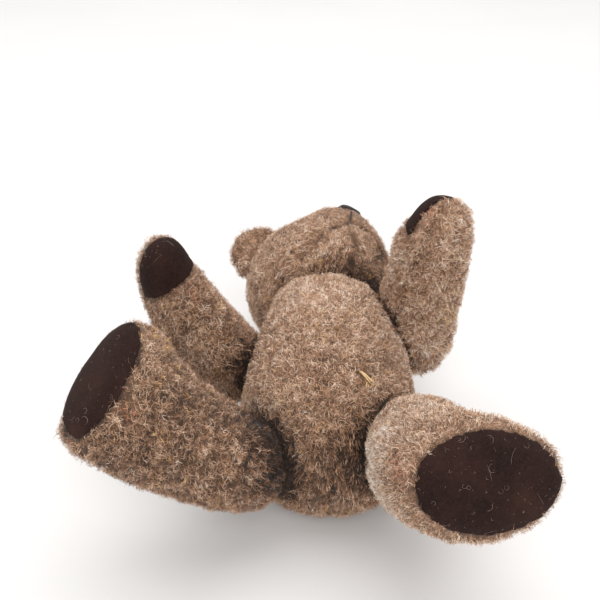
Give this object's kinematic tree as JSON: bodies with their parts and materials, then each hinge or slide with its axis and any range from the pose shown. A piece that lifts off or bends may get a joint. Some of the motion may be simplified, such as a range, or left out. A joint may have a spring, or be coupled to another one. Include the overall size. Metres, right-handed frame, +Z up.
{
  "type": "teddy bear",
  "caption": "Worn mohair teddy bear lying on its back, legs and arms raised, with felt paw and foot pads; head, arms and legs turn on disc joints.",
  "frame": {"origin": "middle of the flat spot pressed into its back, on the surface it lies on", "axes": "+X towards the bear's own left, +Y towards the top of its head, +Z up out of its belly"},
  "size_m": [0.2724, 0.3874, 0.1998],
  "materials": {
    "mohair": "worn matted pile",
    "wood_wool": "tightly packed shavings",
    "felt": "matte wool felt",
    "thread": "twisted cotton",
    "button": "polished",
    "hardboard": "pressed board",
    "steel": "dull steel"
  },
  "bodies": {
    "torso": {"body_cover": "mohair", "body_stuffing": "wood_wool", "neck_body_disc": "hardboard", "neck_body_washer": "steel", "hip_left_body_disc": "hardboard", "hip_left_body_washer": "steel", "hip_right_body_disc": "hardboard", "hip_right_body_washer": "steel", "shoulder_left_body_disc": "hardboard", "shoulder_left_body_washer": "steel", "shoulder_right_body_disc": "hardboard", "shoulder_right_body_washer": "steel"},
    "head": {"head_cover": "mohair", "head_stuffing": "wood_wool", "ear_left": "mohair", "ear_right": "mohair", "eye_left": "button", "eye_right": "button", "nose_stitching": "thread", "mouth_stitching": "thread", "neck_limb_disc": "hardboard", "neck_limb_washer": "steel", "neck_split_pin": "steel"},
    "leg_left": {"leg_left_cover": "mohair", "leg_left_stuffing": "wood_wool", "foot_pad_left": "felt", "hip_left_limb_disc": "hardboard", "hip_left_limb_washer": "steel", "hip_left_split_pin": "steel"},
    "arm_left": {"arm_left_cover": "mohair", "arm_left_stuffing": "wood_wool", "paw_pad_left": "felt", "shoulder_left_limb_disc": "hardboard", "shoulder_left_limb_washer": "steel", "shoulder_left_split_pin": "steel"},
    "leg_right": {"leg_right_cover": "mohair", "leg_right_stuffing": "wood_wool", "foot_pad_right": "felt", "hip_right_limb_disc": "hardboard", "hip_right_limb_washer": "steel", "hip_right_split_pin": "steel"},
    "arm_right": {"arm_right_cover": "mohair", "arm_right_stuffing": "wood_wool", "paw_pad_right": "felt", "shoulder_right_limb_disc": "hardboard", "shoulder_right_limb_washer": "steel", "shoulder_right_split_pin": "steel"}
  },
  "joints": [
    {"name": "neck", "type": "hinge", "parent": "torso", "child": "head", "pos_m": [-0.002, 0.10325, 0.0635], "axis": [0, 1, 0], "range_deg": [-60, 20]},
    {"name": "hip_left", "type": "hinge", "parent": "torso", "child": "leg_left", "pos_m": [0.03745, -0.05185, 0.06694], "axis": [0.7518, -0.6215, 0.2205], "range_deg": [-70, 70]},
    {"name": "hip_right", "type": "hinge", "parent": "torso", "child": "leg_right", "pos_m": [-0.0418, -0.0454, 0.04943], "axis": [-0.7518, -0.6215, 0.2205], "range_deg": [-70, 90]},
    {"name": "shoulder_left", "type": "hinge", "parent": "torso", "child": "arm_left", "pos_m": [0.04769, 0.06321, 0.07932], "axis": [0.9442, 0.2612, 0.2009], "range_deg": [-60, 100]},
    {"name": "shoulder_right", "type": "hinge", "parent": "torso", "child": "arm_right", "pos_m": [-0.05212, 0.0464, 0.0556], "axis": [-0.9569, 0.2417, 0.1612], "range_deg": [-60, 90]}
  ]
}
